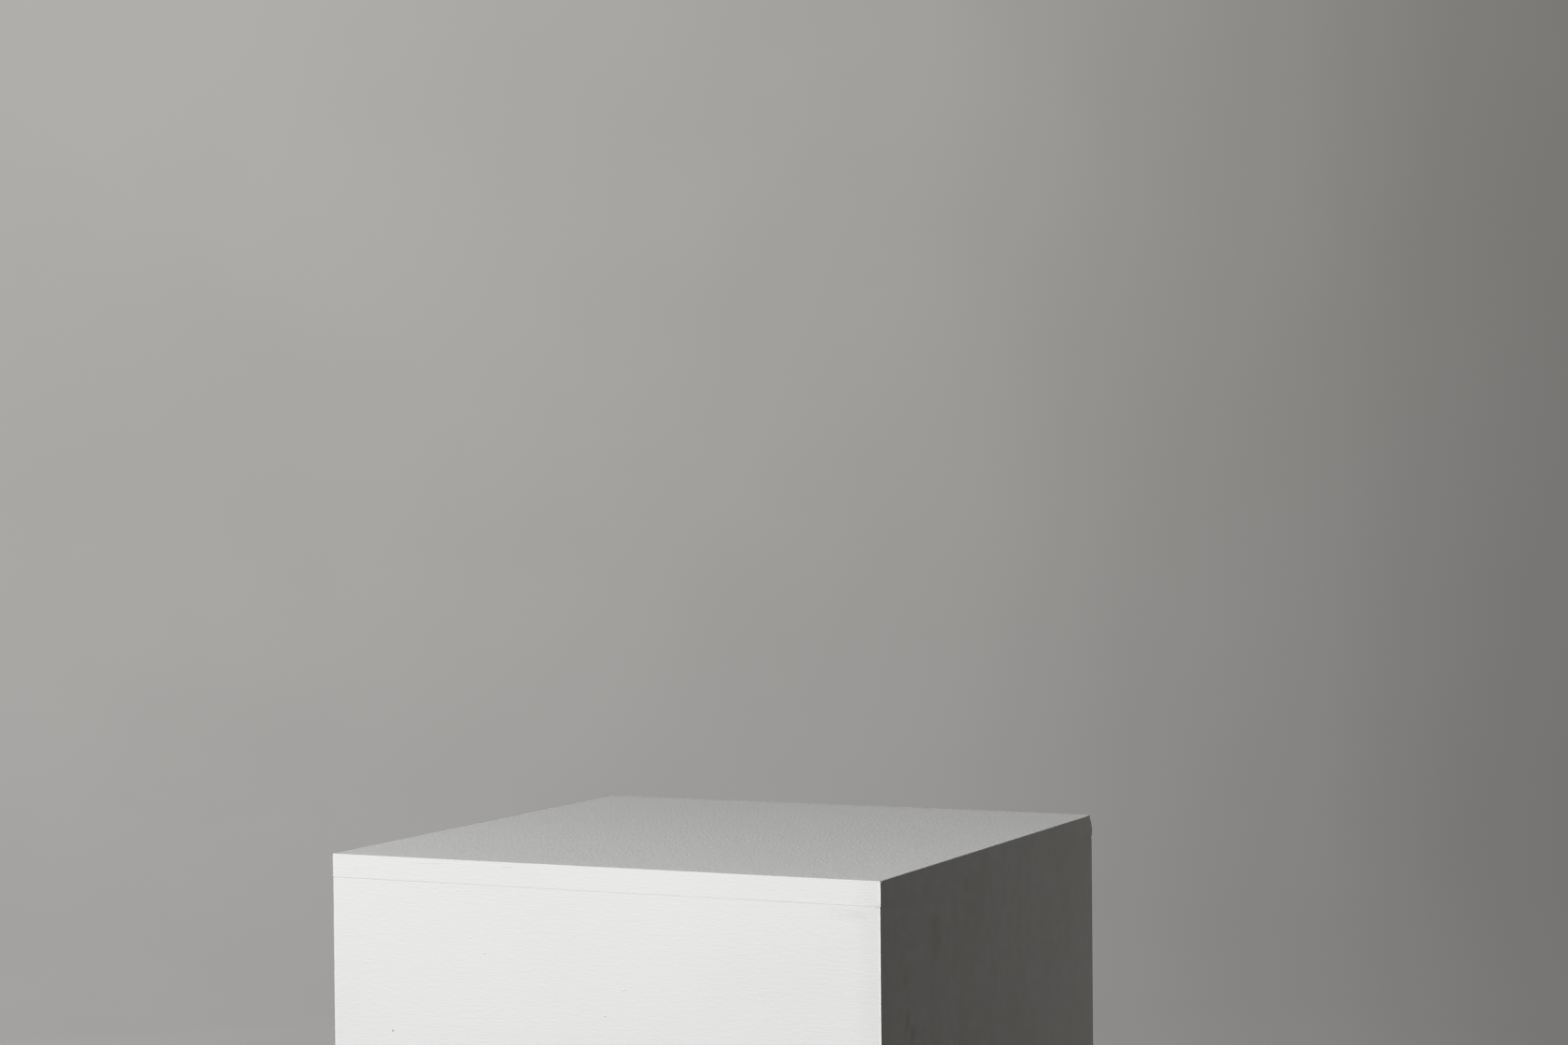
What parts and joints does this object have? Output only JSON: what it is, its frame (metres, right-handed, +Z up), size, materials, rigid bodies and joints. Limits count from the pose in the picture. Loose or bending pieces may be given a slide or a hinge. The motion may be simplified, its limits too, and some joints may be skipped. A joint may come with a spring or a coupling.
{
  "type": "display plinth",
  "caption": "Square white painted box plinth with a flat top to stand one exhibit on, mitred corners, a batten frame inside and levelling feet under its base board.",
  "frame": {"origin": "on the floor, under the middle of the plinth, with the feet as set", "axes": "+Z up, front panel facing -Y, +X to the right as seen from the front"},
  "size_m": [0.45, 0.45, 1],
  "materials": {
    "painted_mdf": "matt white emulsion, rolled on over filled and sanded MDF",
    "bare_mdf": "bare sanded MDF",
    "softwood": "planed pine with no finish",
    "beech": "pressed beech",
    "zinc_plated_steel": "bright zinc plate",
    "black_nylon": "moulded nylon, fine matt",
    "soft_rubber": "matt"
  },
  "bodies": {
    "carcass": {"top_panel": "painted_mdf", "base_board": "bare_mdf", "front_panel": "painted_mdf", "right_panel": "painted_mdf", "back_panel": "painted_mdf", "left_panel": "painted_mdf", "top_rail_front": "softwood", "top_rail_right": "softwood", "top_rail_back": "softwood", "top_rail_left": "softwood", "base_rail_front": "softwood", "base_rail_right": "softwood", "base_rail_back": "softwood", "base_rail_left": "softwood", "corner_batten_front_left": "softwood", "corner_batten_front_right": "softwood", "corner_batten_back_right": "softwood", "corner_batten_back_left": "softwood", "mitre_biscuits": "beech", "top_screws": "zinc_plated_steel", "base_screws": "zinc_plated_steel", "rail_screws": "zinc_plated_steel", "post_screws": "zinc_plated_steel", "tee_nuts": "zinc_plated_steel"},
    "foot_front_left": {"foot_pad_front_left": "black_nylon", "foot_sole_front_left": "soft_rubber"},
    "screw_front_left": {"foot_stud_front_left": "zinc_plated_steel"},
    "foot_front_right": {"foot_pad_front_right": "black_nylon", "foot_sole_front_right": "soft_rubber"},
    "screw_front_right": {"foot_stud_front_right": "zinc_plated_steel"},
    "foot_back_right": {"foot_pad_back_right": "black_nylon", "foot_sole_back_right": "soft_rubber"},
    "screw_back_right": {"foot_stud_back_right": "zinc_plated_steel"},
    "foot_back_left": {"foot_pad_back_left": "black_nylon", "foot_sole_back_left": "soft_rubber"},
    "screw_back_left": {"foot_stud_back_left": "zinc_plated_steel"}
  },
  "joints": [
    {"name": "foot_lift_front_left", "type": "slide", "parent": "carcass", "child": "foot_front_left", "axis": [0, 0, -1], "range_m": [-0.008, 0.018]},
    {"name": "stud_turn_front_left", "type": "hinge", "parent": "foot_front_left", "child": "screw_front_left", "pos_m": [-0.185, -0.185, 0.03], "axis": [0, 0, -1], "range_deg": [-1920, 4320]},
    {"name": "foot_lift_front_right", "type": "slide", "parent": "carcass", "child": "foot_front_right", "axis": [0, 0, -1], "range_m": [-0.008, 0.018]},
    {"name": "stud_turn_front_right", "type": "hinge", "parent": "foot_front_right", "child": "screw_front_right", "pos_m": [0.185, -0.185, 0.03], "axis": [0, 0, -1], "range_deg": [-1920, 4320]},
    {"name": "foot_lift_back_right", "type": "slide", "parent": "carcass", "child": "foot_back_right", "axis": [0, 0, -1], "range_m": [-0.008, 0.018]},
    {"name": "stud_turn_back_right", "type": "hinge", "parent": "foot_back_right", "child": "screw_back_right", "pos_m": [0.185, 0.185, 0.03], "axis": [0, 0, -1], "range_deg": [-1920, 4320]},
    {"name": "foot_lift_back_left", "type": "slide", "parent": "carcass", "child": "foot_back_left", "axis": [0, 0, -1], "range_m": [-0.008, 0.018]},
    {"name": "stud_turn_back_left", "type": "hinge", "parent": "foot_back_left", "child": "screw_back_left", "pos_m": [-0.185, 0.185, 0.03], "axis": [0, 0, -1], "range_deg": [-1920, 4320]}
  ],
  "couplings": [
    {"joint": "stud_turn_front_left", "follows": "foot_lift_front_left", "rad_per_m": 4188.8},
    {"joint": "stud_turn_front_right", "follows": "foot_lift_front_right", "rad_per_m": 4188.8},
    {"joint": "stud_turn_back_right", "follows": "foot_lift_back_right", "rad_per_m": 4188.8},
    {"joint": "stud_turn_back_left", "follows": "foot_lift_back_left", "rad_per_m": 4188.8}
  ]
}
